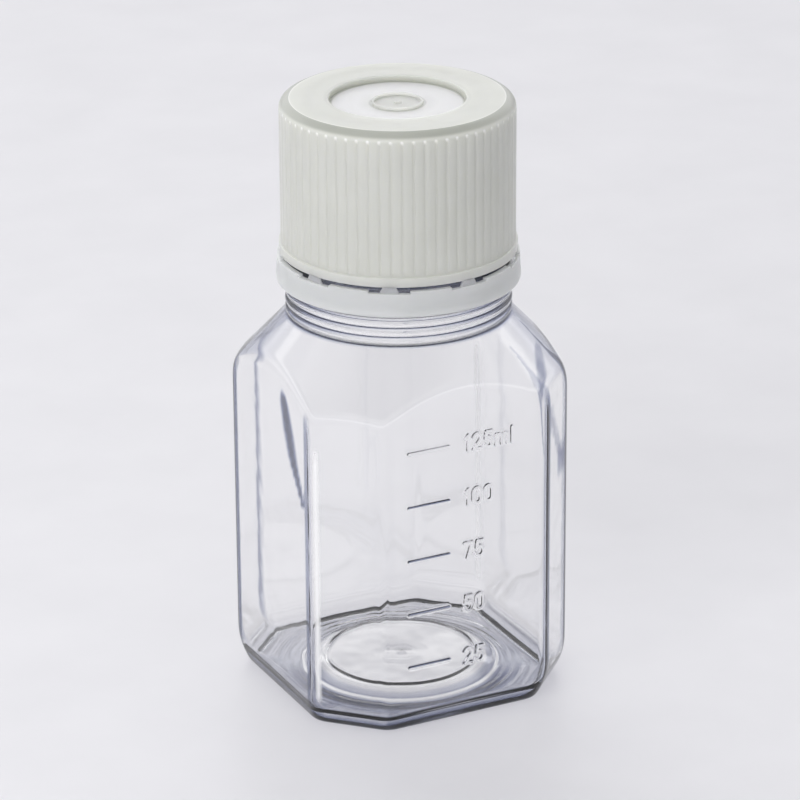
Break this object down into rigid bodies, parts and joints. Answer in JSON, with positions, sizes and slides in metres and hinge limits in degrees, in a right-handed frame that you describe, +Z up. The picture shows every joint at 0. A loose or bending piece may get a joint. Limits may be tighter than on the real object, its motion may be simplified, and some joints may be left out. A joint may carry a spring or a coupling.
{
  "type": "octagonal media bottle",
  "caption": "Clear eight-sided laboratory bottle with raised volume marks, a grooved screw cap with a sealing disc, and a tamper-evident band that stays on the neck.",
  "frame": {"origin": "under the middle of the base, on the plane that the bottle stands on", "axes": "+Z up along the neck's axis, -Y out of the face that carries the volume marks"},
  "size_m": [0.0524, 0.0524, 0.1118],
  "materials": {
    "clear_pet": "clear polished moulded PET with a faint lilac tint",
    "natural_cap": "natural milky polyethylene, satin, slightly translucent",
    "liner_foam": "white foamed polyethylene",
    "natural_band": "natural milky polyethylene, satin, slightly translucent"
  },
  "bodies": {
    "bottle": {"bottle": "clear_pet"},
    "liner": {"cap_liner": "liner_foam"},
    "cap": {"screw_cap": "natural_cap"},
    "band": {"tamper_band": "natural_band"}
  },
  "joints": [
    {"name": "cap_rise", "type": "slide", "parent": "bottle", "child": "liner", "axis": [0, 0, 1], "range_m": [0, 0.00735]},
    {"name": "cap_turn", "type": "hinge", "parent": "liner", "child": "cap", "pos_m": [0, 0, 0.1], "axis": [0, 0, 1], "range_deg": [0, 630]},
    {"name": "band_turn", "type": "hinge", "parent": "bottle", "child": "band", "pos_m": [0, 0, 0.08], "axis": [0, 0, 1], "continuous": true}
  ],
  "couplings": [
    {"joint": "cap_rise", "follows": "cap_turn", "m_per_rad": 0.00066845}
  ]
}
